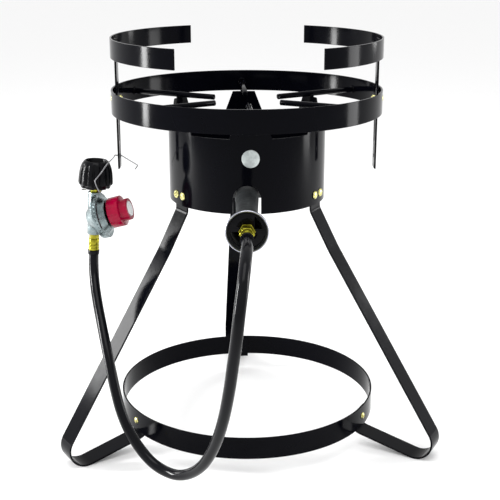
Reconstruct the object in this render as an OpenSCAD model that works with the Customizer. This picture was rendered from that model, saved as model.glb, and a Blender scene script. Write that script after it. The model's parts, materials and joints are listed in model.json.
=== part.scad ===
// Propane burner stand: three bent-bar legs, a lower ring, a windscreen with six pot rods, a top
// ring, two lifting pot guards, a cast burner, and a gas hose with its regulator hung on a wire hook.
// Millimetres, +Z up, origin on the stand's axis at floor level. The burner's mouth faces -Y.

/* [Rings] */
// Outside diameter of the top ring
top_ring_d = 458; // [452:1:462]
// Height of the top ring's upper edge above the floor
stand_h = 610; // [606:1:614]
// Height of both rings' strip
ring_strip_h = 38; // [34:1:40]
// Thickness of both rings' strip
ring_t = 3; // [2.5:0.1:3]
// Outside diameter of the lower ring
low_ring_d = 456; // [455:0.5:457]
// Height of the lower ring's bottom edge
low_ring_z = 31; // [30:0.5:33]

/* [Windscreen] */
// Outside diameter of the windscreen
screen_d = 268; // [264:0.5:270]
// Sheet thickness of the windscreen
screen_t = 1.6; // [1.2:0.1:1.8]
// Height of the windscreen's bottom edge
screen_z = 423; // [421:1:425]
// Height of the windscreen's plain wall
screen_h = 123; // [120:1:126]
// Width of an ear at its top
ear_top_w = 40; // [36:1:46]
// Width of an ear where it leaves the wall
ear_foot_w = 70; // [64:1:78]
// Width of the arched slot for the burner tube
slot_w = 46; // [44:1:52]

/* [Pot rods] */
// Diameter of a pot rod
rod_d = 9.5; // [8:0.5:10]
// Radius at which the rods end near the middle
rod_in_r = 64; // [58:1:72]

/* [Legs] */
// Turn of the legs and rods about the stand's axis
frame_turn = 2.5; // [0:0.5:4]
// Turn of the back leg about the stand's axis
back_turn = 4.5; // [0:0.5:5]
// Width of the leg bar
leg_w = 38; // [36:1:40]
// Thickness of the leg bar
leg_t = 3.2; // [3:0.1:3.4]
// Radius of the foot's bend, outside
foot_r = 32; // [28:1:36]
// Distance of the foot's bend centre from the stand's axis
foot_out = 330; // [322:1:334]

/* [Pot guards] */
// Height of a guard's arc strip
guard_h = 32; // [28:1:36]
// Height of the guards' upper edge at rest
guard_top = 696; // [690:1:702]
// Travel of a guard in its slot
guard_lift = 70; // [50:1:74]
// Width of a guard's strap
strap_w = 28; // [24:1:30]

/* [Burner] */
// Height of the burner tube's axis
tube_z = 448.5; // [447:0.5:450]
// Outside diameter of the burner tube at the head
tube_d = 38; // [36:1:40]
// Outside diameter of the burner tube's narrow part, behind the bell
throat_d = 31; // [30:1:34]
// Outside diameter of the bell mouth
bell_d = 64; // [62:1:66]
// Distance of the bell's face from the stand's axis
bell_out = 326; // [325:0.5:327]
// Outside diameter of the burner head
head_d = 104; // [98:1:110]

/* [Gas line] */
// Outside diameter of the hose
hose_d = 17; // [16:0.5:17.5]
// Diameter of the hanger wire
wire_d = 2; // [1.6:0.1:2]
// Outside diameter of the coupling nut
nut_d = 58; // [54:1:58]
// Diameter of the regulator's diaphragm rim
rim_d = 78; // [74:1:78]
// Diameter of the pressure knob
knob_d = 52; // [48:1:52]

/* [Hidden] */

$fn = 64;
top_ring_r = top_ring_d / 2;
low_ring_r = low_ring_d / 2;
screen_r = screen_d / 2;
screen_in = screen_r - screen_t;
rod_z = stand_h - 21;
ear_top_z = rod_z - rod_d / 2 - 0.1;
screen_top = screen_z + screen_h;
leg_angle = [frame_turn + 60, back_turn + 180, frame_turn - 60];

// Leg bar: centre line in the radial plane, from the tab inside the windscreen to the ring tab
tab_r = sqrt(screen_in * screen_in - leg_w * leg_w / 4) - 0.1 - leg_t / 2;
ring_tab_r = sqrt(pow(low_ring_r - ring_t, 2) - leg_w * leg_w / 4) - 0.1 - leg_t / 2;
leg_top_z = screen_z + 43;
bend_z = screen_z - 12;
kink = [164.5, 349];
foot_c = [foot_out, foot_r];
foot_line_r = foot_r - leg_t / 2;
ring_bend_z = low_ring_z - 4.5;
ring_tab_top = low_ring_z + ring_strip_h - 4;
leg_screw_z = screen_z + 17;
leg_screw_gap = 21;
ring_screw_z = low_ring_z + ring_strip_h / 2;
screw_r = 2.5;

// Guards: slot and bolt
strap_t = 3;
strap_x = top_ring_r - ring_t - 4.5;
bolt_z = stand_h - 18;
bolt_r = 3;
slot_r = 3.4;
strap_bottom = bolt_z - 120;
hook_z = bolt_z - 99;
guard_r = low_ring_r;

// Burner
tube_r = tube_d / 2;
throat_r = throat_d / 2;
tube_wall = 3.5;
flare = 46;
bell_r = bell_d / 2;
head_r = head_d / 2;
head_wall = 6;
head_z = screen_z + 6;
head_top = head_z + 65;
web_y = -bell_out + 8;
web_t = 4;
shutter_t = 1.5;
shutter_y = web_y - shutter_t - 1.5;
spud_r = 9;
opening_r = 24.5;
opening_edge = 11;
swivel_y = -bell_out;
ferrule_r = hose_d / 2 + 0.5;
collar_r = hose_d / 2 + 1.3;

// Regulator: its own frame hangs at a small tilt
reg_at = [-258, -62, 404];
reg_tilt = 4;
cover_turn = -10;
cover_rise = 20;
cover_drop = 5;
flange_z = 15;
knob_z = 32.4;
knob_h = 32.6;
knob_step_r = 18.5;
cap_r = 12.4;
neck_r = 9;
nut_top = 94;
mouth_r = 17.2;

// Hose route, from the burner's ferrule to the regulator's
hose_path = [[0, -367, 448.5], [0, -384, 448.5], [0, -402, 447], [-1, -422, 442], [-3, -446, 430],
    [-6, -466, 409], [-10, -477, 379], [-14, -478, 342], [-19, -468, 303], [-25, -450, 254],
    [-34, -426, 199], [-46, -398, 148], [-64, -366, 99], [-85, -336, 66], [-109, -311, 48],
    [-133, -290, 45], [-154, -275, 53], [-173, -262, 70], [-190, -249, 93], [-204, -234, 121],
    [-214, -217, 150], [-223, -197, 180], [-233, -172, 211], [-243, -143, 240], [-252, -114, 264],
    [-259, -88, 287], [-262.4, -70, 311], [-262.8, -62, 335.15]];

// Hanger wire route, from the hook tip inside the stand to the hook round the regulator's neck
wire_path = [[-200, 52, 456.5], [-195, 60, 462], [-217, 3, 492], [-223, 0, 493], [-228, -3, 494],
    [-226, -30, 496], [-226, -68, 499], [-230, -87, 497], [-240, -91, 483], [-251, -95, 470],
    [-248, -92, 459], [-244, -88, 447.4], [-243.6, -62, 447.4], [-250, -50, 447.6], [-262, -48, 448],
    [-269, -58, 448.6], [-271, -68, 449], [-277, -76, 451]];

// ---- helpers ----
function unit(v) = v / norm(v);
function arc(c, r, a, b, n) = [for (i = [0:n]) c + r * [cos(a + (b - a) * i / n), sin(a + (b - a) * i / n)]];
function normal2(p, i) = let (q = p[min(i + 1, len(p) - 1)] - p[max(i - 1, 0)]) [-q[1], q[0]] / norm(q);
function strip(p, t) = concat([for (i = [0:len(p) - 1]) p[i] + normal2(p, i) * t / 2],
    [for (i = [len(p) - 1:-1:0]) p[i] - normal2(p, i) * t / 2]);
function tangent(p, i, a, b) = i == 0 ? a : i == len(p) - 1 ? b :
    unit(unit(p[i + 1] - p[i]) + unit(p[i] - p[i - 1]));

// A tube swept along a route: one closed polyhedron with flat ends across the tangents a and b
module sweep(p, r, sides, a, b, up) {
    ring = [for (i = [0:len(p) - 1]) let (t = tangent(p, i, a, b), u = unit(cross(up, t)), v = cross(t, u))
        for (k = [0:sides - 1]) p[i] + r * (cos(k * 360 / sides) * u + sin(k * 360 / sides) * v)];
    last = (len(p) - 1) * sides;
    faces = concat([[for (k = [0:sides - 1]) k]], [[for (k = [sides - 1:-1:0]) last + k]],
        [for (i = [0:len(p) - 2]) for (k = [0:sides - 1])
            [i * sides + k, (i + 1) * sides + k,
                (i + 1) * sides + (k + 1) % sides, i * sides + (k + 1) % sides]]);
    polyhedron(ring, faces, convexity = 10);
}

module ring(r, t, h) {
    difference() {
        cylinder(r = r, h = h, $fn = 180);
        translate([0, 0, -1]) cylinder(r = r - t, h = h + 2, $fn = 180);
    }
}

// Cylinder along -Y from the axis outwards, at height z, from radius r0 to r1
module radial(r0, r1, r, z) {
    translate([0, -r0, z]) rotate([90, 0, 0]) cylinder(r = r, h = r1 - r0);
}

// ---- stand ----
module windscreen() {
    color("#17181a") difference() {
        intersection() {
            translate([0, 0, screen_z]) ring(screen_r, screen_t, ear_top_z - screen_z);
            union() {
                translate([0, 0, screen_z]) cylinder(r = screen_r + 5, h = screen_h);
                for (i = [0:2]) rotate(frame_turn + 60 * i) ear_pair();
            }
        }
        tube_slot();
        for (a = leg_angle) rotate(a) for (s = [-1, 1]) translate([s * leg_screw_gap / 2, 0, 0])
            radial(screen_r - 10, screen_r + 5, screw_r + 0.2, leg_screw_z);
    }
}

// Two trapezoid ears on opposite sides of the wall
module ear_pair() {
    translate([0, screen_r + 5, 0]) rotate([90, 0, 0]) linear_extrude(2 * screen_r + 10)
        polygon([[-ear_foot_w / 2, screen_top - 1], [ear_foot_w / 2, screen_top - 1],
            [ear_top_w / 2, ear_top_z + 1], [-ear_top_w / 2, ear_top_z + 1]]);
}

// Arched slot in the front wall, open at the bottom
module tube_slot() {
    translate([-slot_w / 2, -screen_r - 5, screen_z - 1]) cube([slot_w, 40, tube_z - screen_z]);
    radial(screen_r - 35, screen_r + 5, slot_w / 2, tube_z - 1);
}

module badge_disc() {
    color("#c9ccce") rotate(frame_turn) difference() {
        radial(screen_r - 3, screen_r + 1.6, 14.5, screen_z + 92);
        translate([0, 0, screen_z]) cylinder(r = screen_r, h = screen_h, $fn = 180);
    }
}

module top_ring() {
    color("#17181a") difference() {
        translate([0, 0, stand_h - ring_strip_h]) ring(top_ring_r, ring_t, ring_strip_h);
        for (s = [-1, 1]) translate([s * (top_ring_r - 10), 0, bolt_z]) rotate([0, s * 90, 0])
            cylinder(r = bolt_r + 0.3, h = 20);
    }
}

module pot_rod(i) {
    color("#17181a") rotate(frame_turn + 60 * i) radial(rod_in_r, top_ring_r - ring_t, rod_d / 2, rod_z);
}

module lower_ring() {
    color("#17181a") difference() {
        translate([0, 0, low_ring_z]) ring(low_ring_r, ring_t, ring_strip_h);
        for (a = leg_angle) rotate(a) radial(low_ring_r - 10, low_ring_r + 10, screw_r + 0.5, ring_screw_z);
    }
}

// Centre line of the leg bar, as [radius, height] points
function leg_line() = let (
    d1 = foot_c - kink,
    a1 = atan2(d1[1], d1[0]) + asin(foot_line_r / norm(d1)) + 90,
    d2 = foot_c - [ring_tab_r, ring_bend_z],
    a2 = atan2(d2[1], d2[0]) - asin(foot_line_r / norm(d2)) - 90)
    concat([[tab_r, leg_top_z], [tab_r, bend_z + 4], [tab_r + 1.2, bend_z]], [kink],
        arc(foot_c, foot_line_r, a1, a2, 14),
        [[ring_tab_r + 6, ring_bend_z - 1.5], [ring_tab_r + 1, ring_bend_z + 1],
        [ring_tab_r, ring_bend_z + 6], [ring_tab_r, ring_tab_top]]);

module leg(a) {
    color("#17181a") rotate(a) difference() {
        translate([-leg_w / 2, 0, 0]) rotate([90, 0, 90]) linear_extrude(leg_w)
            polygon([for (q = strip(leg_line(), leg_t)) [-q[0], q[1]]]);
        for (s = [-1, 1]) translate([s * leg_screw_gap / 2, 0, 0])
            radial(tab_r - 10, tab_r + 10, screw_r + 0.2, leg_screw_z);
        radial(ring_tab_r - 10, ring_tab_r + 10, screw_r + 0.5, ring_screw_z);
    }
}

// Truss-head screw pointing inwards, head face at radius r
module screw(r, z, length, head_r, head_h, shank_r) {
    radial(r - length, r + 0.5, shank_r, z);
    translate([0, -r, z]) rotate([90, 0, 0]) difference() {
        rotate_extrude()
            polygon(concat([[0, 0]], [for (k = [0:5]) [head_r * cos(k * 18), head_h * sin(k * 18)]]));
        for (t = [0, 90]) rotate(t)
            translate([-head_r * 0.45, -0.5, head_h - 1.1]) cube([head_r * 0.9, 1, 3]);
    }
}

module hex_nut(r_face, z, across, h, hole_r) {
    translate([0, -r_face + h, z]) rotate([90, 0, 0]) difference() {
        cylinder(r = across / sqrt(3), h = h, $fn = 6);
        translate([0, 0, -1]) cylinder(r = hole_r, h = h + 2);
    }
}

module leg_screws() {
    color("#c9a14a") for (a = leg_angle) rotate(a) for (s = [-1, 1]) translate([s * leg_screw_gap / 2, 0, 0])
        screw(screen_r, leg_screw_z, 14, 7, 3.4, screw_r);
}

module leg_nuts() {
    color("#c9a14a") for (a = leg_angle) rotate(a) for (s = [-1, 1]) translate([s * leg_screw_gap / 2, 0, 0])
        hex_nut(tab_r - leg_t / 2, leg_screw_z, 9.5, 4, screw_r);
}

module ring_screws() {
    color("#c9a14a") for (a = leg_angle) rotate(a) screw(low_ring_r, ring_screw_z, 14, 6, 3, screw_r + 0.3);
}

module ring_nuts() {
    color("#c9a14a") for (a = leg_angle) rotate(a)
        hex_nut(ring_tab_r - leg_t / 2, ring_screw_z, 10, 4, screw_r + 0.3);
}

// ---- pot guards: side -1 is left, +1 is right ----
module guard_arc(from, to) {
    color("#17181a") translate([0, 0, guard_top - guard_h]) rotate(from - 90)
        rotate_extrude(angle = to - from, $fn = 180) translate([guard_r - 3, 0]) square([3, guard_h]);
}

// The right-hand strap, mirrored for the left
module guard_strap(side) {
    color("#17181a") mirror([side < 0 ? 1 : 0, 0, 0]) difference() {
        translate([strap_x - strap_t, -strap_w / 2, strap_bottom])
            cube([strap_t, strap_w, guard_top - 4 - strap_bottom]);
        translate([strap_x - 10, 0, 0]) rotate([0, 90, 0]) {
            translate([-hook_z, 0, 0]) cylinder(r = slot_r, h = 20);
            translate([-bolt_z, 0, 0]) cylinder(r = slot_r, h = 20);
            translate([-bolt_z + guard_lift, 0, 0]) cylinder(r = slot_r, h = 20);
            translate([-bolt_z, -slot_r, 0]) cube([guard_lift, 2 * slot_r, 20]);
        }
    }
}

module guard_bolt(side) {
    color("#c9a14a") rotate(side * 90) {
        screw(top_ring_r, bolt_z, 18, 6.5, 3.2, bolt_r);
    }
}

module guard_nut(side) {
    color("#c9a14a") rotate(side * 90) hex_nut(strap_x - strap_t - 0.4, bolt_z, 10, 5, bolt_r);
}

// ---- burner ----
// An air opening seen from the front: a quarter of a disc without its inner strips
module quarter_opening() {
    intersection() {
        circle(r = opening_r);
        translate([opening_edge, 1.5]) square(opening_r);
    }
}

module air_openings(y, depth) {
    translate([0, y, tube_z]) rotate([90, 0, 0]) linear_extrude(depth)
        for (turn = [0, 180]) rotate(turn) quarter_opening();
}

// Solid of revolution about the burner tube's axis; profile points are [radius, distance outwards]
module tube_turned(profile) {
    translate([0, 0, tube_z]) rotate([90, 0, 0]) rotate_extrude(convexity = 6) polygon(profile);
}

module burner_casting() {
    color("#26272a") {
        difference() {
            union() {
                translate([0, 0, head_z]) cylinder(r = head_r, h = head_top - head_z);
                tube_turned([[0, 30], [tube_r, 30], [tube_r, screen_r], [throat_r, bell_out - flare - 10],
                    [throat_r, bell_out - flare], [throat_r + 2.5, bell_out - 34],
                    [bell_r - 10, bell_out - 18], [bell_r - 3, bell_out - 9], [bell_r, bell_out - 5],
                    [bell_r, bell_out], [0, bell_out]]);
            }
            translate([0, 0, head_z + 7]) cylinder(r = head_r - head_wall, h = 80);
            tube_turned([[0, 20], [tube_r - tube_wall, 20], [tube_r - tube_wall, screen_r],
                [throat_r - tube_wall, bell_out - flare - 10], [throat_r - tube_wall, bell_out - flare],
                [bell_r - 12, bell_out - 18], [opening_r, -web_y - web_t], [0, -web_y - web_t]]);
            tube_turned([[0, -web_y], [bell_r - 3.5, -web_y],
                [bell_r - 2.5, bell_out + 1], [0, bell_out + 1]]);
            air_openings(web_y + web_t + 2, web_t + 4);
            radial(-web_y - 10, -web_y + 4, spud_r + 0.3, tube_z);
            translate([0, 0, head_z - 1]) cylinder(r = 4, h = 20);
        }
        translate([0, 0, head_z + 6.9]) difference() {
            cylinder(r = 9, h = 10);
            translate([0, 0, -1]) cylinder(r = 4, h = 12);
        }
    }
}

module cap_port(r) {
    translate([r, 0, head_top - 6]) cylinder(r = 1.6, h = 20, $fn = 16);
}

module burner_cap() {
    color("#26272a") difference() {
        union() {
            translate([0, 0, head_top]) cylinder(r = head_r, h = 6);
            translate([0, 0, head_top + 6]) cylinder(r1 = 20, r2 = 14, h = 5);
            translate([0, 0, head_top - 5]) cylinder(r = head_r - head_wall - 0.2, h = 6);
        }
        for (k = [0:15]) rotate(k * 22.5) cap_port(38);
        for (k = [0:11]) rotate(k * 30) cap_port(28);
        for (s = [-1, 1]) translate([s * 43, 0, head_top - 6]) cylinder(r = 2.2, h = 20);
    }
}

module burner_cap_screws() {
    color("#8f9296") for (s = [-1, 1]) translate([s * 43, 0, head_top]) {
        translate([0, 0, -9]) cylinder(r = 2, h = 15);
        translate([0, 0, 6]) cylinder(r = 4, h = 2.6);
    }
}

// Flat bar across the bottom of the windscreen, with upturned ends
module burner_bracket() {
    half = sqrt(screen_in * screen_in - 12.5 * 12.5) - 0.1;
    low = screen_z + 3;
    color("#17181a") difference() {
        translate([0, 12.5, 0]) rotate([90, 0, 0]) linear_extrude(25)
            polygon([[-half, low], [half, low], [half, low + 28], [half - 3, low + 28], [half - 3, low + 3],
                [3 - half, low + 3], [3 - half, low + 28], [-half, low + 28]]);
        translate([0, 0, low - 1]) cylinder(r = 4.3, h = 10);
    }
}

module burner_bolt() {
    color("#8f9296") {
        translate([0, 0, screen_z - 2.5]) cylinder(r = 7.5, h = 5.5, $fn = 6);
        translate([0, 0, screen_z]) cylinder(r = 4, h = 22);
    }
}

module air_shutter() {
    color("#1b1c1f") difference() {
        radial(-shutter_y - shutter_t, -shutter_y, 27, tube_z);
        air_openings(shutter_y + shutter_t + 1, shutter_t + 4);
        radial(-shutter_y - 5, -shutter_y + 5, spud_r + 0.05, tube_z);
    }
}

module shutter_nut() {
    color("#c9a14a") translate([0, shutter_y - 0.4, tube_z]) rotate([90, 0, 0]) difference() {
        cylinder(r = 12.6, h = 4, $fn = 6);
        translate([0, 0, -1]) cylinder(r = spud_r, h = 6);
    }
}

// Brass spud through the web and the shutter, with the jet inside the tube
module orifice_fitting() {
    color("#c9a14a") difference() {
        union() {
            radial(-web_y - 8, -swivel_y, spud_r, tube_z);
            radial(-web_y - 20, -web_y - 7, 5, tube_z);
        }
        radial(-web_y - 21, -web_y - 7, 1, tube_z);
        radial(-web_y - 8, -swivel_y + 1, 4, tube_z);
    }
}

module swivel_nut() {
    color("#c9a14a") translate([0, swivel_y, tube_z]) rotate([90, 0, 0]) difference() {
        cylinder(r = 11.5, h = 14, $fn = 6);
        translate([0, 0, -1]) cylinder(r = 4, h = 16);
    }
}

// Ferrule and collar of one end of the hose, from the fitting's face towards the hose
module ferrule() {
    difference() {
        cylinder(r = ferrule_r, h = 20);
        for (z = [10, 15]) translate([0, 0, z]) rotate_extrude()
            translate([ferrule_r + 0.4, 0]) circle(r = 1, $fn = 16);
    }
}

module hose_ferrule_burner() {
    color("#c9a14a") translate([0, swivel_y - 14, tube_z]) rotate([90, 0, 0]) ferrule();
}

module hose_collar_burner() {
    color("#1d1e20") radial(-hose_path[0][1] - 7, -hose_path[0][1], collar_r, tube_z);
}

module hose() {
    reg_axis = [sin(reg_tilt), 0, cos(reg_tilt)];
    color("#141416") sweep(hose_path, hose_d / 2, 12, [0, -1, 0], reg_axis, [0.8, 0.6, 0]);
}

// ---- regulator, hung with its coupling nut upwards ----
module reg_frame() {
    translate(reg_at) rotate([0, reg_tilt, 0]) children();
}

module cover_frame() {
    reg_frame() translate([0, 0, -cover_drop]) rotate([0, 90 - cover_rise, cover_turn]) children();
}

module hose_collar_regulator() {
    color("#1d1e20") reg_frame() translate([0, 0, -69]) cylinder(r = collar_r, h = 7);
}

module hose_ferrule_regulator() {
    color("#c9a14a") reg_frame() translate([0, 0, -42]) mirror([0, 0, 1]) ferrule();
}

module outlet_fitting() {
    color("#d8bd72") reg_frame() {
        translate([0, 0, -42]) cylinder(r = 8.5, h = 9, $fn = 6);
        translate([0, 0, -33]) cylinder(r = 5, h = 12);
    }
}

module regulator_body() {
    color("#b9c2c4") difference() {
        union() {
            reg_frame() translate([0, 0, -33]) cylinder(r = 12, h = 73);
            cover_frame() translate([0, 0, -10]) cylinder(r1 = 14, r2 = 33, h = 20);
            cover_frame() translate([0, 0, flange_z - 5]) cylinder(r = rim_d / 2, h = 5);
        }
        reg_frame() translate([0, 0, -34]) cylinder(r = 5, h = 14);
        reg_frame() translate([0, 0, -21]) cylinder(r = 2.5, h = 62);
        cover_frame() translate([0, 0, flange_z - 6]) cylinder(r = 22, h = 30);
        cover_frame() translate([0, 0, flange_z - 2]) cylinder(r = 33, h = 30);
        cover_frame() translate([0, 0, flange_z]) cylinder(r = rim_d / 2 + 1, h = 20);
    }
}

module diaphragm() {
    color("#2b2b2d") cover_frame() translate([0, 0, flange_z - 1.8]) cylinder(r = 32.5, h = 1.4);
}

module regulator_cover() {
    color("#aeb7ba") cover_frame() translate([0, 0, flange_z]) difference() {
        union() {
            cylinder(r = rim_d / 2, h = 4);
            translate([0, 0, 4]) cylinder(r1 = 33, r2 = 25, h = 9);
            translate([0, 0, 13]) cylinder(r = 13, h = 3.5);
        }
        translate([0, 0, -1]) cylinder(r1 = 29, r2 = 21, h = 11);
        translate([0, 0, 5]) cylinder(r = 4.05, h = 20);
        for (k = [0:35]) rotate(k * 10)
            translate([rim_d / 2 + 0.6, 0, -1]) cylinder(r = 1.4, h = 6, $fn = 16);
    }
}

// Compression spring over the diaphragm
module pressure_spring() {
    turns = 3;
    steps = turns * 12;
    coil = [for (i = [0:steps]) [9 * cos(i * 30), 9 * sin(i * 30), flange_z + 0.6 + 5.6 * i / steps]];
    color("#9a9da1") cover_frame() sweep(coil, 0.7, 6, [0, 1, 0], [0, 1, 0], [0, 0, 1]);
}

module spring_plate() {
    color("#9a9da1") cover_frame() translate([0, 0, flange_z + 7.2]) cylinder(r = 12, h = 1.4);
}

module adjusting_screw() {
    color("#c9a14a") cover_frame() translate([0, 0, flange_z + 8.9]) cylinder(r = 4, h = 31);
}

// Two-step knob, open underneath, with a recess for its cap
module pressure_knob() {
    color("#b5102c") cover_frame() translate([0, 0, knob_z]) difference() {
        union() {
            cylinder(r = knob_d / 2, h = 19.5);
            translate([0, 0, 19.5]) cylinder(r = knob_step_r, h = knob_h - 19.5);
        }
        translate([0, 0, -1]) cylinder(r = knob_d / 2 - 4, h = 16);
        translate([0, 0, 5]) cylinder(r = 4, h = flange_z + 39.9 - knob_z - 5);
        translate([0, 0, knob_h - 2]) cylinder(r = cap_r, h = 5);
        for (k = [0:11]) rotate(k * 30)
            translate([knob_d / 2 + 1.2, 0, -1]) cylinder(r = 1.8, h = 18, $fn = 16);
    }
}

module knob_cap() {
    color("#e9ebec") cover_frame() translate([0, 0, knob_z + knob_h - 2]) cylinder(r = cap_r, h = 2.6);
}

module inlet_nipple() {
    color("#c9a14a") reg_frame() rotate_extrude()
        polygon([[2.5, 40], [neck_r, 40], [neck_r, 53.6], [13, 53.6], [13, 56.5], [8, 58], [8, 72], [6.2, 72],
            [6.2, 74.6], [8, 74.6], [7, 80], [2.5, 80]]);
}

module inlet_o_ring() {
    color("#111113") reg_frame() translate([0, 0, 73.3]) rotate_extrude()
        translate([7.45, 0]) circle(r = 1.25, $fn = 16);
}

// Hand nut round the nipple, mouth upwards, with grip flutes
module coupling_nut() {
    nut_r = nut_d / 2;
    color("#18191b") reg_frame() difference() {
        rotate_extrude() polygon([[neck_r + 0.05, 47], [20, 47], [22, 49], [22, 52], [nut_r - 1, 53.5],
            [nut_r, 56], [nut_r - 0.5, 66], [nut_r - 1.5, 75], [nut_r - 3.5, 83], [nut_r - 6, 89],
            [nut_r - 9, nut_top - 1.2], [19, nut_top], [mouth_r, nut_top], [mouth_r, 53],
            [neck_r + 0.05, 53]]);
        for (k = [0:15]) rotate(k * 22.5) translate([nut_r + 1, 0, 50]) cylinder(r = 2.4, h = 31, $fn = 20);
    }
}

module hanger_wire() {
    color("#b9bbbd") sweep(wire_path, wire_d / 2, 8, unit(wire_path[1] - wire_path[0]),
        unit(wire_path[17] - wire_path[16]), [0.123, 0.31, 0.94]);
}

windscreen();
badge_disc();
top_ring();
for (i = [0:5]) pot_rod(i);
lower_ring();
leg(leg_angle[0]);  // leg_right
leg(leg_angle[1]);  // leg_back
leg(leg_angle[2]);  // leg_left
leg_screws();
leg_nuts();
ring_screws();
ring_nuts();
guard_arc(-152.6, -28.7);  // guard_arc_left
guard_arc(31, 152);  // guard_arc_right
guard_strap(-1);  // guard_strap_left
guard_strap(1);  // guard_strap_right
guard_bolt(-1);  // guard_bolt_left
guard_bolt(1);  // guard_bolt_right
guard_nut(-1);  // guard_nut_left
guard_nut(1);  // guard_nut_right
burner_casting();
burner_cap();
burner_cap_screws();
burner_bracket();
burner_bolt();
air_shutter();
shutter_nut();
orifice_fitting();
swivel_nut();
hose_ferrule_burner();
hose_collar_burner();
hose();
hose_collar_regulator();
hose_ferrule_regulator();
outlet_fitting();
regulator_body();
diaphragm();
regulator_cover();
pressure_spring();
spring_plate();
adjusting_screw();
pressure_knob();
knob_cap();
inlet_nipple();
inlet_o_ring();
coupling_nut();
hanger_wire();
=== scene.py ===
import math

import bmesh
import bpy
import json
import random
from mathutils import Matrix, Vector


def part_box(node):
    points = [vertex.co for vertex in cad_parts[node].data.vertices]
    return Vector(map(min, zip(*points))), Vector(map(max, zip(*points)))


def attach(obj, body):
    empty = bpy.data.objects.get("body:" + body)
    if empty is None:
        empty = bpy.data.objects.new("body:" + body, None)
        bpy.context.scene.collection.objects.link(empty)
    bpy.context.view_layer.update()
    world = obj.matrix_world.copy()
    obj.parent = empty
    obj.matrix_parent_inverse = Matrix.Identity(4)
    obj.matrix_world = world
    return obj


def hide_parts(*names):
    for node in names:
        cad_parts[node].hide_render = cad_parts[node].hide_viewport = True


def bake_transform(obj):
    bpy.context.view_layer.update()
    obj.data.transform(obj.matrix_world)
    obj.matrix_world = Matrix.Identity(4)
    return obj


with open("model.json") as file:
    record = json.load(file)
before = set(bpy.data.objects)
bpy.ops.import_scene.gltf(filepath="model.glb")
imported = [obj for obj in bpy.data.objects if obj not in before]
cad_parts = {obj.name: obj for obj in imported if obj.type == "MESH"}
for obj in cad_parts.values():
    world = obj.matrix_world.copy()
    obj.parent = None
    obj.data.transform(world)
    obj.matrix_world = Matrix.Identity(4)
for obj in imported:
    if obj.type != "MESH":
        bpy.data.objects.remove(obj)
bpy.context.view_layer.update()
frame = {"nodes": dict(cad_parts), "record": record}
nodes = frame["nodes"]
random.seed(7)

MM = 0.001

# ---------------------------------------------------------------- camera
CAMERA_AT = (0.0, -1.793, 0.870)
CAMERA_DOWN = 17.0
CAMERA_YAW = -0.168
LENS = 76.1
SENSOR_W = 36


def make_camera():
    data = bpy.data.cameras.new("camera")
    data.lens = LENS
    data.sensor_width = SENSOR_W
    data.clip_end = 50
    cam = bpy.data.objects.new("camera", data)
    cam.location = CAMERA_AT
    cam.rotation_euler = (math.radians(90 - CAMERA_DOWN), 0, math.radians(CAMERA_YAW))
    bpy.context.scene.collection.objects.link(cam)
    bpy.context.scene.camera = cam


make_camera()


# ---------------------------------------------------------------- node-tree helpers
def new_material(name):
    mat = bpy.data.materials.new(name)
    mat.use_nodes = True
    tree = mat.node_tree
    bsdf = tree.nodes["Principled BSDF"]
    return mat, tree, bsdf


def coords(tree):
    return tree.nodes.new("ShaderNodeTexCoord").outputs["Object"]


def noise(tree, scale, detail=3.0, rough=0.5, vector=None):
    made = tree.nodes.new("ShaderNodeTexNoise")
    made.inputs["Scale"].default_value = scale
    made.inputs["Detail"].default_value = detail
    made.inputs["Roughness"].default_value = rough
    tree.links.new(vector or coords(tree), made.inputs["Vector"])
    return made.outputs["Fac"]


def ramp(tree, fac, stops):
    made = tree.nodes.new("ShaderNodeValToRGB")
    points = made.color_ramp.elements
    while len(points) < len(stops):
        points.new(0.5)
    for point, (at, color) in zip(points, stops):
        point.position = at
        point.color = (*color, 1) if len(color) == 3 else color
    tree.links.new(fac, made.inputs["Fac"])
    return made.outputs["Color"]


def grey(level):
    return (level, level, level)


def bump(tree, bsdf, height, strength, distance, below=None):
    made = tree.nodes.new("ShaderNodeBump")
    made.inputs["Strength"].default_value = strength
    made.inputs["Distance"].default_value = distance
    tree.links.new(height, made.inputs["Height"])
    if below is not None:
        tree.links.new(below, made.inputs["Normal"])
    tree.links.new(made.outputs["Normal"], bsdf.inputs["Normal"])
    return made.outputs["Normal"]


def enamel(name, base, rough, specular):
    """Glossy black enamel: faint orange peel, uneven gloss and a slight change of tone."""
    mat, tree, bsdf = new_material(name)
    vector = coords(tree)
    cloud = noise(tree, 9, 5, 0.6, vector)
    color = ramp(tree, cloud, [(0.3, base), (0.8, tuple(c * 1.6 for c in base))])
    tree.links.new(color, bsdf.inputs["Base Color"])
    streak = noise(tree, 60, 4, 0.65, vector)
    tree.links.new(ramp(tree, streak, [(0.25, grey(rough * 0.8)), (0.85, grey(rough * 1.4))]),
                   bsdf.inputs["Roughness"])
    peel = noise(tree, 420, 2, 0.5, vector)
    bump(tree, bsdf, peel, 0.05, 0.0005)
    bsdf.inputs["Specular IOR Level"].default_value = specular
    return mat


def metal(name, dark, light, rough, scale=70.0, grain=0.15, distance=0.0003):
    """Bare metal with a mottled tone and a fine grain."""
    mat, tree, bsdf = new_material(name)
    vector = coords(tree)
    tone = noise(tree, scale, 4, 0.6, vector)
    tree.links.new(ramp(tree, tone, [(0.25, dark), (0.75, light)]), bsdf.inputs["Base Color"])
    tree.links.new(ramp(tree, tone, [(0.2, grey(rough * 1.35)), (0.8, grey(rough * 0.75))]),
                   bsdf.inputs["Roughness"])
    bsdf.inputs["Metallic"].default_value = 1.0
    bump(tree, bsdf, noise(tree, scale * 9, 3, 0.6, vector), grain, distance)
    return mat


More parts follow.
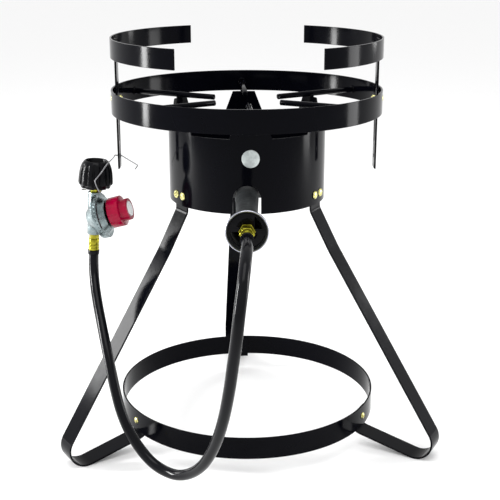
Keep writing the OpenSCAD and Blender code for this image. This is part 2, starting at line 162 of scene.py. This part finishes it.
def cast(name, dark, light, rough, metallic, grain, specular):
    """Cast surface: rough skin with pits."""
    mat, tree, bsdf = new_material(name)
    vector = coords(tree)
    tone = noise(tree, 35, 5, 0.65, vector)
    tree.links.new(ramp(tree, tone, [(0.3, dark), (0.75, light)]), bsdf.inputs["Base Color"])
    skin = noise(tree, 120, 3, 0.5, vector)
    tree.links.new(ramp(tree, skin, [(0.2, grey(rough * 0.8)), (0.8, grey(rough * 1.2))]),
                   bsdf.inputs["Roughness"])
    bsdf.inputs["Metallic"].default_value = metallic
    bsdf.inputs["Specular IOR Level"].default_value = specular
    coarse = bump(tree, bsdf, noise(tree, 300, 5, 0.7, vector), grain, 0.0009)
    bump(tree, bsdf, noise(tree, 1100, 2, 0.5, vector), grain * 0.6, 0.0003, coarse)
    return mat


def moulded(name, dark, light, rough, specular, grain):
    """Moulded plastic or rubber: slight tone change, fine texture."""
    mat, tree, bsdf = new_material(name)
    vector = coords(tree)
    tree.links.new(ramp(tree, noise(tree, 25, 3, 0.5, vector), [(0.3, dark), (0.7, light)]),
                   bsdf.inputs["Base Color"])
    skin = noise(tree, 150, 3, 0.6, vector)
    tree.links.new(ramp(tree, skin, [(0.2, grey(rough * 0.8)), (0.8, grey(rough * 1.25))]),
                   bsdf.inputs["Roughness"])
    bump(tree, bsdf, noise(tree, 900, 2, 0.5, vector), grain, 0.0003)
    bsdf.inputs["Specular IOR Level"].default_value = specular
    return mat


MATERIALS = {
    "black_enamel": enamel("black_enamel", (0.0009, 0.0010, 0.0020), 0.11, 0.055),
    "shutter_paint": enamel("shutter_paint", (0.0010, 0.0010, 0.0018), 0.11, 0.10),
    "badge_metal": metal("badge_metal", (0.40, 0.44, 0.44), (0.62, 0.67, 0.66), 0.42, 160, 0.3),
    "brass_plated": metal("brass_plated", (0.46, 0.43, 0.12), (0.84, 0.80, 0.38), 0.26, 200),
    "brass": metal("brass", (0.16, 0.14, 0.008), (0.42, 0.39, 0.040), 0.20, 110),
    # Painted highlight: bright bluish metal for the bell's lip, in place of the reflection on its black
    # enamel
    "lip_painted_highlight": metal("lip_painted_highlight", (0.30, 0.31, 0.38), (0.62, 0.63, 0.72), 0.22, 90),
    "zinc_steel": metal("zinc_steel", (0.38, 0.39, 0.40), (0.55, 0.56, 0.58), 0.35),
    "wire_steel": metal("wire_steel", (0.15, 0.15, 0.16), (0.34, 0.34, 0.35), 0.30, 300),
    "zinc_cast": cast("zinc_cast", (0.10, 0.135, 0.14), (0.33, 0.39, 0.40), 0.27, 1.0, 0.30, 0.5),
    "cast_iron": cast("cast_iron", (0.010, 0.011, 0.012), (0.030, 0.033, 0.034), 0.42, 0.0, 0.5, 0.35),
    "black_crimp": enamel("black_crimp", (0.0014, 0.0014, 0.0020), 0.2, 0.12),
    "hose_rubber": moulded("hose_rubber", (0.0011, 0.0012, 0.0022), (0.0022, 0.0024, 0.0040),
                           0.15, 0.13, 0.02),
    "seal_rubber": moulded("seal_rubber", (0.006, 0.006, 0.006), (0.014, 0.014, 0.014), 0.55, 0.3, 0.15),
    "black_plastic": moulded("black_plastic", (0.0010, 0.0011, 0.0018), (0.0022, 0.0024, 0.0034),
                             0.22, 0.11, 0.06),
    "red_plastic": moulded("red_plastic", (0.20, 0.0, 0.016), (0.32, 0.001, 0.030), 0.13, 0.20, 0.02),
    "knob_cap_white": moulded("knob_cap_white", (0.70, 0.72, 0.73), (0.84, 0.86, 0.87), 0.35, 0.4, 0.05),
}


def paint(obj, slot):
    obj.data.materials.clear()
    obj.data.materials.append(MATERIALS[slot])


# ---------------------------------------------------------------- hose: a swept tube between the fittings
HOSE_D = 17 * MM
# Route in millimetres, the same points as hose_path in the CAD
HOSE_PATH = [(0, -367, 448.5), (0, -384, 448.5), (0, -402, 447), (-1, -422, 442), (-3, -446, 430),
             (-6, -466, 409), (-10, -477, 379), (-14, -478, 342), (-19, -468, 303), (-25, -450, 254),
             (-34, -426, 199), (-46, -398, 148), (-64, -366, 99), (-85, -336, 66), (-109, -311, 48),
             (-133, -290, 45), (-154, -275, 53), (-173, -262, 70), (-190, -249, 93), (-204, -234, 121),
             (-214, -217, 150), (-223, -197, 180), (-233, -172, 211), (-243, -143, 240), (-252, -114, 264),
             (-259, -88, 287), (-262.4, -70, 311), (-262.8, -62, 335.15)]
REG_TILT = math.radians(4)
REG_AXIS = Vector((math.sin(REG_TILT), 0, math.cos(REG_TILT)))


def smooth_path(points, steps):
    """Catmull-Rom line through the points, steps per span."""
    ends = [points[0] * 2 - points[1]] + points + [points[-1] * 2 - points[-2]]
    line = []
    for i in range(1, len(ends) - 2):
        a, b, c, d = ends[i - 1:i + 3]
        for k in range(steps):
            t = k / steps
            line.append(0.5 * (2 * b + (c - a) * t + (2 * a - 5 * b + 4 * c - d) * t ** 2
                               + (3 * b - a - 3 * c + d) * t ** 3))
    return line + [points[-1]]


def sweep(name, line, radius, sides, up=Vector((0.8, 0.6, 0)), ends=None):
    """A closed round tube along a line of points; ends are the two end tangents."""
    mesh = bpy.data.meshes.new(name)
    bm = bmesh.new()
    rings = []
    last = len(line) - 1
    for i, point in enumerate(line):
        tangent = (line[min(i + 1, last)] - line[max(i - 1, 0)]).normalized()
        if ends and i in (0, last):
            tangent = ends[0 if i == 0 else 1]
        u = up.cross(tangent).normalized()
        v = tangent.cross(u)
        rings.append([bm.verts.new(point + radius * (math.cos(a) * u + math.sin(a) * v))
                      for a in (k * math.tau / sides for k in range(sides))])
    for low, high in zip(rings, rings[1:]):
        for k in range(sides):
            bm.faces.new((low[k], low[(k + 1) % sides], high[(k + 1) % sides], high[k]))
    bm.faces.new(rings[0][::-1])
    bm.faces.new(rings[-1])
    for face in bm.faces:
        face.smooth = len(face.verts) == 4
    bmesh.ops.recalc_face_normals(bm, faces=bm.faces)
    bm.to_mesh(mesh)
    bm.free()
    obj = bpy.data.objects.new(name, mesh)
    bpy.context.scene.collection.objects.link(obj)
    return obj


def make_hose():
    line = smooth_path([Vector(p) * MM for p in HOSE_PATH], 8)
    obj = sweep("gas_hose", line, HOSE_D / 2, 32, ends=(Vector((0, -1, 0)), REG_AXIS))
    paint(obj, "hose_rubber")
    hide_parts("hose")
    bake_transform(obj)


make_hose()


# ---------------------------------------------------------------- CAD nodes: finish and soft edges
SLOTS = {row["node"]: row["material_slot"] for row in frame["record"]["subparts"]}
EDGE = {"badge_disc": 0.3, "air_shutter": 0.25, "shutter_nut": 0.4, "burner_cap": 0.8}
OTHER_EDGE = 0.5
NODE_EDGE_ANGLE = 32
WELD_GAP = 0.00002


def round_edges(obj, width, segments=2, angle=35):
    """Rounds every edge sharper than angle, width in millimetres."""
    bevel = obj.modifiers.new("edge", "BEVEL")
    bevel.width = width * MM
    bevel.segments = segments
    bevel.limit_method = "ANGLE"
    bevel.angle_limit = math.radians(angle)
    bevel.harden_normals = True


def soften(obj, width):
    """Joined vertices, rounded edges and even shading, as modifiers on the CAD mesh."""
    weld = obj.modifiers.new("weld", "WELD")
    weld.merge_threshold = WELD_GAP
    round_edges(obj, width, angle=NODE_EDGE_ANGLE)
    for face in obj.data.polygons:
        face.use_smooth = True


for name, obj in nodes.items():
    paint(obj, SLOTS[name])
    soften(obj, EDGE.get(name, OTHER_EDGE))


# ---------------------------------------------------------------- pieces built here
def new_piece(name, bm, slot, body, *stands_for):
    """Turns a bmesh into a painted object that rides on a body and may stand for CAD nodes."""
    bmesh.ops.recalc_face_normals(bm, faces=bm.faces)
    mesh = bpy.data.meshes.new(name)
    for face in bm.faces:
        face.smooth = True
    bm.to_mesh(mesh)
    bm.free()
    obj = bpy.data.objects.new(name, mesh)
    bpy.context.scene.collection.objects.link(obj)
    paint(obj, slot)
    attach(obj, body)
    if stands_for:
        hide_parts(*stands_for)
    return obj


def span(name, axis):
    """Lowest and highest value of a CAD node along one axis, in metres."""
    low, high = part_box(name)
    return low[axis], high[axis]


STRIP_T = 3 * MM
STRIP_STEP = 1.5
LOW_RING_R = 228 * MM
GUARD_R = 228 * MM
GUARD_ARCS = {"left": (-152.6, -28.7), "right": (31, 152)}


def strip_band(node, body, radius, start=0.0, stop=360.0):
    """Flat strip rolled into a ring or an arc. Angles run from -Y, positive towards +X."""
    low, high = span(node, 2)
    inner = radius - STRIP_T
    whole = stop - start >= 360
    columns = round((stop - start) / STRIP_STEP)
    bm = bmesh.new()
    loops = []
    for i in range(columns + (0 if whole else 1)):
        a = math.radians(start + (stop - start) * i / columns)
        out = Vector((math.sin(a), -math.cos(a), 0))
        corners = ((radius, low), (radius, high), (inner, high), (inner, low))
        loops.append([bm.verts.new(out * r + Vector((0, 0, z))) for r, z in corners])
    pairs = list(zip(loops, loops[1:])) + ([(loops[-1], loops[0])] if whole else [])
    for one, two in pairs:
        for k in range(4):
            bm.faces.new((one[k], one[(k + 1) % 4], two[(k + 1) % 4], two[k]))
    if not whole:
        bm.faces.new(loops[0])
        bm.faces.new(loops[-1][::-1])
    obj = new_piece(node + "_strip", bm, "black_enamel", body, node)
    round_edges(obj, 0.5)


# Windscreen: a rolled sheet with six ears and the arched slot
EAR_TOP_W, EAR_FOOT_W, WALL_H = 40 * MM, 70 * MM, 123 * MM
SLOT_W, SLOT_SPRING = 46 * MM, 447.5 * MM
SHEET_T = 1.6 * MM
SHEET_STEP = 2.0
FRAME_TURN = 2.5
EARS, EAR_GAP = 6, 60
# Shares of the slot's half width where the arch gets a column of its own
ARCH_CUTS = (0.5, 0.8, 0.93, 0.99)
TINY = 1e-6


def make_windscreen():
    low, ear_top = span("windscreen", 2)
    radius = span("windscreen", 0)[1]
    wall_top = low + WALL_H
    half_slot = SLOT_W / 2

    def off_ear(angle):
        turn = (angle - FRAME_TURN + EAR_GAP / 2) % EAR_GAP - EAR_GAP / 2
        return abs(radius * math.sin(math.radians(turn)))

    def top_at(angle):
        s = off_ear(angle)
        rise = (EAR_FOOT_W / 2 - s) / (EAR_FOOT_W / 2 - EAR_TOP_W / 2)
        return wall_top + (ear_top - wall_top) * min(1.0, max(0.0, rise))

    def arch_at(angle):
        s = abs(radius * math.sin(math.radians(angle)))
        inside = s < half_slot - TINY and math.cos(math.radians(angle)) > 0
        return SLOT_SPRING + math.sqrt(half_slot ** 2 - s ** 2) if inside else SLOT_SPRING

    angles = {i * SHEET_STEP for i in range(round(360 / SHEET_STEP))}
    for k in range(EARS):
        for half in (EAR_TOP_W / 2, EAR_FOOT_W / 2):
            reach = math.degrees(math.asin(half / radius))
            middle = FRAME_TURN + EAR_GAP * k
            angles |= {(middle + reach) % 360, (middle - reach) % 360}
    slot_edge = math.degrees(math.asin(half_slot / radius))
    angles |= {slot_edge, 360 - slot_edge}
    for share in ARCH_CUTS:
        fine = math.degrees(math.asin(half_slot * share / radius))
        angles |= {fine, 360 - fine}
    angles = sorted(angles)
    bm = bmesh.new()

    def quad(a, b, low_a, low_b, high_a, high_b):
        if max(high_a - low_a, high_b - low_b) < TINY:
            return
        corners = ((a, low_a), (b, low_b), (b, high_b), (a, high_a))
        verts = [bm.verts.new((radius * math.sin(math.radians(t)), -radius * math.cos(math.radians(t)), z))
                 for t, z in corners]
        bm.faces.new(verts)

    for a, b in zip(angles, angles[1:] + [angles[0] + 360]):
        middle = (a + b) / 2
        if abs((middle + 180) % 360 - 180) > slot_edge:
            quad(a, b, low, low, SLOT_SPRING, SLOT_SPRING)
        quad(a, b, arch_at(a), arch_at(b), wall_top, wall_top)
        quad(a, b, wall_top, wall_top, top_at(a), top_at(b))
    bmesh.ops.remove_doubles(bm, verts=bm.verts, dist=TINY)
    bmesh.ops.dissolve_degenerate(bm, edges=bm.edges, dist=TINY)
    obj = new_piece("windscreen_sheet", bm, "black_enamel", "stand", "windscreen")
    wall = obj.modifiers.new("wall", "SOLIDIFY")
    wall.thickness = SHEET_T
    wall.offset = -1
    round_edges(obj, 0.4)


# Wire with its corners rounded off
WIRE_D = 2 * MM
# Route in millimetres, the same points as wire_path in the CAD
WIRE_PATH = [(-200, 52, 456.5), (-195, 60, 462), (-217, 3, 492), (-223, 0, 493), (-228, -3, 494),
             (-226, -30, 496), (-226, -68, 499), (-230, -87, 497), (-240, -91, 483), (-251, -95, 470),
             (-248, -92, 459), (-244, -88, 447.4), (-243.6, -62, 447.4), (-250, -50, 447.6),
             (-262, -48, 448), (-269, -58, 448.6), (-271, -68, 449), (-277, -76, 451)]


def round_corners(points, reach, steps=6):
    line = [points[0]]
    for before, corner, after in zip(points, points[1:], points[2:]):
        cut = min(reach, (before - corner).length * 0.45, (after - corner).length * 0.45)
        p = corner + (before - corner).normalized() * cut
        q = corner + (after - corner).normalized() * cut
        for k in range(steps + 1):
            t = k / steps
            line.append(p * (1 - t) ** 2 + corner * 2 * t * (1 - t) + q * t ** 2)
    return line + [points[-1]]


def make_wire():
    line = round_corners([Vector(p) * MM for p in WIRE_PATH], 4 * MM)
    obj = sweep("hanger_wire_bent", line, WIRE_D / 2, 14, up=Vector((0.123, 0.31, 0.94)))
    paint(obj, "wire_steel")
    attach(obj, "guard_left")
    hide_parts("hanger_wire")


# Hand nut: bell-shaped grip with deep flutes over a stepped, castellated skirt
REG_AT = Vector((-258, -62, 404)) * MM
MOUTH_R, NECK_R = 17.2, 9.05
FLUTES, FLUTE_DEPTH, FLUTE_SHARE = 14, 2.2, 0.45
FLUTE_LOW, FLUTE_TOP = 53.5, 91
NOTCHES, NOTCH_DEPTH, NOTCH_SHARE, SKIRT_TOP = 7, 4.0, 0.4, 52.9


def make_hand_nut():
    outer = [(23.4, 47.6), (24.8, 48.4), (25.2, 50.0), (25.4, 52.4), (26.2, 53.0), (27.8, 53.8), (28.8, 55.2),
             (29.0, 57.2), (28.8, 61.0), (28.5, 66.0), (28.1, 70.5), (27.5, 75.0), (26.7, 79.0), (25.6, 83.0),
             (24.3, 86.2), (22.9, 89.0), (21.3, 91.4), (19.8, 93.2), (18.6, 94.0), (17.8, 93.8)]
    inner = [(MOUTH_R, 93.0), (MOUTH_R, 72.0), (MOUTH_R, 53.0), (NECK_R + 0.1, 53.0), (NECK_R + 0.1, 47.0)]
    columns = 192

    def radius_at(r, z, turn):
        """Narrow rounded grooves between wide ribs on the bell, square notches in the skirt."""
        phase = abs((turn * FLUTES) % 1 - 0.5) * 2
        if FLUTE_LOW < z < FLUTE_TOP:
            fade = min(1.0, (FLUTE_TOP - z) / 10, (z - FLUTE_LOW) / 1.4)
            groove = FLUTE_DEPTH * fade * max(0.0, 1 - (phase / FLUTE_SHARE) ** 2)
            return r - groove - 0.4 * fade * (1 - phase)
        if z < SKIRT_TOP:
            notch = abs((turn * NOTCHES) % 1 - 0.5) * 2
            return r - (NOTCH_DEPTH if notch < NOTCH_SHARE else 0.0)
        return r

    bm = bmesh.new()
    rings = []
    for r, z in outer + inner:
        ring = []
        for k in range(columns):
            turn = k / columns
            a = turn * math.tau
            use = radius_at(r, z, turn) if r > MOUTH_R + 1 else r
            ring.append(bm.verts.new((use * MM * math.cos(a), use * MM * math.sin(a), z * MM)))
        rings.append(ring)
    for one, two in zip(rings, rings[1:] + [rings[0]]):
        for k in range(columns):
            bm.faces.new((one[k], one[(k + 1) % columns], two[(k + 1) % columns], two[k]))
    bmesh.ops.rotate(bm, verts=bm.verts, cent=(0, 0, 0), matrix=Matrix.Rotation(REG_TILT, 3, "Y"))
    bmesh.ops.translate(bm, verts=bm.verts, vec=REG_AT)
    obj = new_piece("hand_nut_grip", bm, "black_plastic", "hand_nut", "coupling_nut")
    round_edges(obj, 0.3, 1, 50)


# Weld beads: rippled rounds of metal, all those of one body in one piece
def bead(bm, points, radius, closed=False):
    sides = 8
    count = len(points)
    rings = []
    for i, point in enumerate(points):
        before = points[(i - 1) % count] if closed or i else point
        after = points[(i + 1) % count] if closed or i < count - 1 else point
        along = (after - before).normalized()
        u = along.orthogonal().normalized()
        v = along.cross(u)
        swell = radius * (1 + 0.16 * math.sin(i * 2.1) + random.uniform(-0.08, 0.08))
        if not closed and i in (0, count - 1):
            swell *= 0.35
        rings.append([bm.verts.new(point + swell * (math.cos(a) * u + math.sin(a) * v))
                      for a in (k * math.tau / sides for k in range(sides))])
    pairs = list(zip(rings, rings[1:]))
    if closed:
        pairs.append((rings[-1], rings[0]))
    for one, two in pairs:
        bmesh.ops.bridge_loops(bm, edges=ring_edges(bm, one) + ring_edges(bm, two))
    if not closed:
        bm.faces.new(rings[0])
        bm.faces.new(rings[-1])


def ring_edges(bm, ring):
    edges = []
    for one, two in zip(ring, ring[1:] + ring[:1]):
        edge = bm.edges.get((one, two)) or bm.edges.new((one, two))
        edges.append(edge)
    return edges


def line_points(start, stop, gap):
    count = max(3, round((stop - start).length / gap))
    return [start.lerp(stop, i / count) for i in range(count + 1)]


def outward(angle):
    return Vector((math.sin(angle), -math.cos(angle), 0))


# Legs: flat bar bent below the windscreen, at the kink and round the foot
LEG_W, LEG_T = 38.0, 3.2
SCREEN_IN, RING_INNER = 132.4, 225.0
LEG_TOP_Z, BEND_Z, RING_BEND_Z, RING_TAB_TOP = 466.0, 411.0, 26.5, 65.0
KINK, FOOT, FOOT_LINE_R = (164.5, 349.0), (330.0, 32.0), 30.4
LEGS = {"leg_right": 62.5, "leg_back": 184.5, "leg_left": -57.5}


def leg_line():
    """Centre line of the bar as (radius, 0, height) points in millimetres."""
    def tangent_angle(from_point, turn):
        dx, dz = FOOT[0] - from_point[0], FOOT[1] - from_point[1]
        return math.atan2(dz, dx) + turn * (math.asin(FOOT_LINE_R / math.hypot(dx, dz)) + math.pi / 2)

    tab_r = math.sqrt(SCREEN_IN ** 2 - (LEG_W / 2) ** 2) - 0.1 - LEG_T / 2
    ring_r = math.sqrt(RING_INNER ** 2 - (LEG_W / 2) ** 2) - 0.1 - LEG_T / 2
    start = tangent_angle(KINK, 1)
    stop = tangent_angle((ring_r, RING_BEND_Z), -1)
    steps = 28
    arc = [start + (stop - start) * i / steps for i in range(steps + 1)]
    foot = [(FOOT[0] + FOOT_LINE_R * math.cos(a), FOOT[1] + FOOT_LINE_R * math.sin(a)) for a in arc]
    line = [(tab_r, LEG_TOP_Z), (tab_r, BEND_Z + 4), (tab_r + 1.2, BEND_Z), KINK] + foot
    line += [(ring_r + 6, RING_BEND_Z - 1.5), (ring_r + 1, RING_BEND_Z + 1), (ring_r, RING_BEND_Z + 6),
             (ring_r, RING_TAB_TOP)]
    return round_corners([Vector((r, 0, z)) for r, z in line], 5, 4)


def make_leg(node, angle):
    line = leg_line()
    out = outward(math.radians(angle))
    side = Vector((-out.y, out.x, 0)) * (LEG_W / 2) * MM
    last = len(line) - 1
    bm = bmesh.new()
    rings = []
    for i, point in enumerate(line):
        along = (line[min(i + 1, last)] - line[max(i - 1, 0)]).normalized()
        across = Vector((-along.z, 0, along.x)) * LEG_T / 2
        ring = []
        for s, edge in ((-1, -1), (-1, 1), (1, 1), (1, -1)):
            flat = point + across * edge
            ring.append(bm.verts.new(out * flat.x * MM + Vector((0, 0, flat.z * MM)) + side * s))
        rings.append(ring)
    for one, two in zip(rings, rings[1:]):
        for k in range(4):
            bm.faces.new((one[k], one[(k + 1) % 4], two[(k + 1) % 4], two[k]))
    bm.faces.new(rings[0])
    bm.faces.new(rings[-1][::-1])
    obj = new_piece(node + "_bar", bm, "black_enamel", "stand", node)
    round_edges(obj, 0.7)


ROD_R = 4.75 * MM
RING_IN = 226 * MM
SCREEN_MID = 133.2 * MM
STRAP_HALF_W = 14 * MM
RING_BEAD_R, EAR_BEAD_R, STRAP_BEAD_R = 1.7 * MM, 1.6 * MM, 1.5 * MM
RING_BEAD_POINTS = 28
EAR_BEAD_HALF = 4


def make_rod_beads():
    """A bead round each rod's end at the ring, and one on each side where it crosses its ear."""
    low, high = span("pot_rod_1", 2)
    level = (low + high) / 2
    bm = bmesh.new()
    for i in range(EARS):
        angle = math.radians(FRAME_TURN + EAR_GAP * i)
        out = outward(angle)
        side = Vector((math.cos(angle), math.sin(angle), 0))
        end = out * (RING_IN - 0.6 * MM) + Vector((0, 0, level))
        around = [end + (ROD_R + 0.6 * MM) * (side * math.cos(a) + Vector((0, 0, math.sin(a))))
                  for a in (k * math.tau / RING_BEAD_POINTS for k in range(RING_BEAD_POINTS))]
        bead(bm, around, RING_BEAD_R, closed=True)
        for s in (-1, 1):
            middle = out * SCREEN_MID + side * s * (ROD_R - 0.4 * MM) + Vector((0, 0, low + 0.5 * MM))
            reach = out * EAR_BEAD_HALF * MM
            bead(bm, line_points(middle - reach, middle + reach, 1.5 * MM), EAR_BEAD_R)
    new_piece("rod_welds", bm, "black_enamel", "stand")


def make_strap_beads(side, body):
    """A bead down each side of the strap, against the inside of its arc."""
    hand = body.split("_")[1]
    low, high = span("guard_arc_" + hand, 2)
    strap_out = max(abs(v) for v in span("guard_strap_" + hand, 0))
    bm = bmesh.new()
    for s in (-1, 1):
        at = Vector((side * (strap_out - 0.4 * MM), s * STRAP_HALF_W, 0))
        foot = at + Vector((0, 0, low + 2 * MM))
        top = at + Vector((0, 0, high - 6 * MM))
        bead(bm, line_points(foot, top, 1.6 * MM), STRAP_BEAD_R)
    new_piece("strap_welds_" + hand, bm, "black_enamel", body)


# Lip round the mouth of the burner's bell: the rolled lip is real, its bright bluish metal finish is a
# painted highlight for the reflection on the black enamel rim
LIP_R = 1.1 * MM
LIP_RING_R = 31.2 * MM
LIP_COLUMNS, LIP_SIDES = 96, 10


def make_bell_lip():
    mouth = span("burner_casting", 1)[0]
    z = SLOT_SPRING + 1 * MM
    bm = bmesh.new()
    rings = []
    for k in range(LIP_COLUMNS):
        a = k * math.tau / LIP_COLUMNS
        ring = []
        for j in range(LIP_SIDES):
            b = j * math.tau / LIP_SIDES
            r = LIP_RING_R + LIP_R * math.cos(b)
            y = mouth + 0.2 * MM + LIP_R * math.sin(b)
            ring.append(bm.verts.new((r * math.cos(a), y, z + r * math.sin(a))))
        rings.append(ring)
    for one, two in zip(rings, rings[1:] + rings[:1]):
        for j in range(LIP_SIDES):
            after = (j + 1) % LIP_SIDES
            bm.faces.new((one[j], one[after], two[after], two[j]))
    obj = new_piece("bell_lip", bm, "zinc_steel", "stand")
    # Painted highlight: the lip gets a bright bluish metal instead of the black enamel whose reflection it
    # stands for
    paint(obj, "lip_painted_highlight")


strip_band("top_ring", "stand", span("top_ring", 0)[1])
strip_band("lower_ring", "stand", LOW_RING_R)
for hand, (start, stop) in GUARD_ARCS.items():
    strip_band("guard_arc_" + hand, "guard_" + hand, GUARD_R, start, stop)
make_windscreen()
for node, angle in LEGS.items():
    make_leg(node, angle)
make_wire()
make_hand_nut()
make_rod_beads()
make_strap_beads(-1, "guard_left")
make_strap_beads(1, "guard_right")
make_bell_lip()


# ---------------------------------------------------------------- floor and light
def make_floor():
    bpy.ops.mesh.primitive_plane_add(size=160, location=(0, 0, 0))
    floor = bpy.context.object
    floor.name = "floor"
    mat, _, bsdf = new_material("pale_floor")
    bsdf.inputs["Base Color"].default_value = (0.93, 0.93, 0.93, 1)
    bsdf.inputs["Roughness"].default_value = 0.9
    floor.data.materials.append(mat)


def softbox(name, at, aim, size, power):
    data = bpy.data.lights.new(name, "AREA")
    data.shape = "RECTANGLE"
    data.size, data.size_y = size
    data.energy = power
    lamp = bpy.data.objects.new(name, data)
    lamp.location = at
    lamp.rotation_euler = (Vector(aim) - Vector(at)).to_track_quat("-Z", "Y").to_euler()
    bpy.context.scene.collection.objects.link(lamp)


def make_world():
    world = bpy.data.worlds.new("studio")
    world.use_nodes = True
    background = world.node_tree.nodes["Background"]
    background.inputs["Color"].default_value = (1, 1, 1, 1)
    background.inputs["Strength"].default_value = 1.0
    bpy.context.scene.world = world


make_floor()
make_world()
softbox("left_strip", (-2.6, -0.08, 0.80), (0, 0, 0.5), (0.28, 1.4), 90)
softbox("right_strip", (2.6, 0.2, 0.75), (0, 0, 0.5), (0.60, 1.5), 34)
softbox("left_rear", (-2.7, 1.17, 0.80), (0, 0, 0.3), (0.45, 0.50), 12)
softbox("right_rear", (2.5, 1.9, 0.55), (0, 0, 0.3), (0.40, 0.35), 4)
softbox("top_box", (0, -0.8, 2.8), (0, 0, 0.4), (1.6, 1.6), 24)
bpy.context.scene.view_settings.view_transform = "Standard"
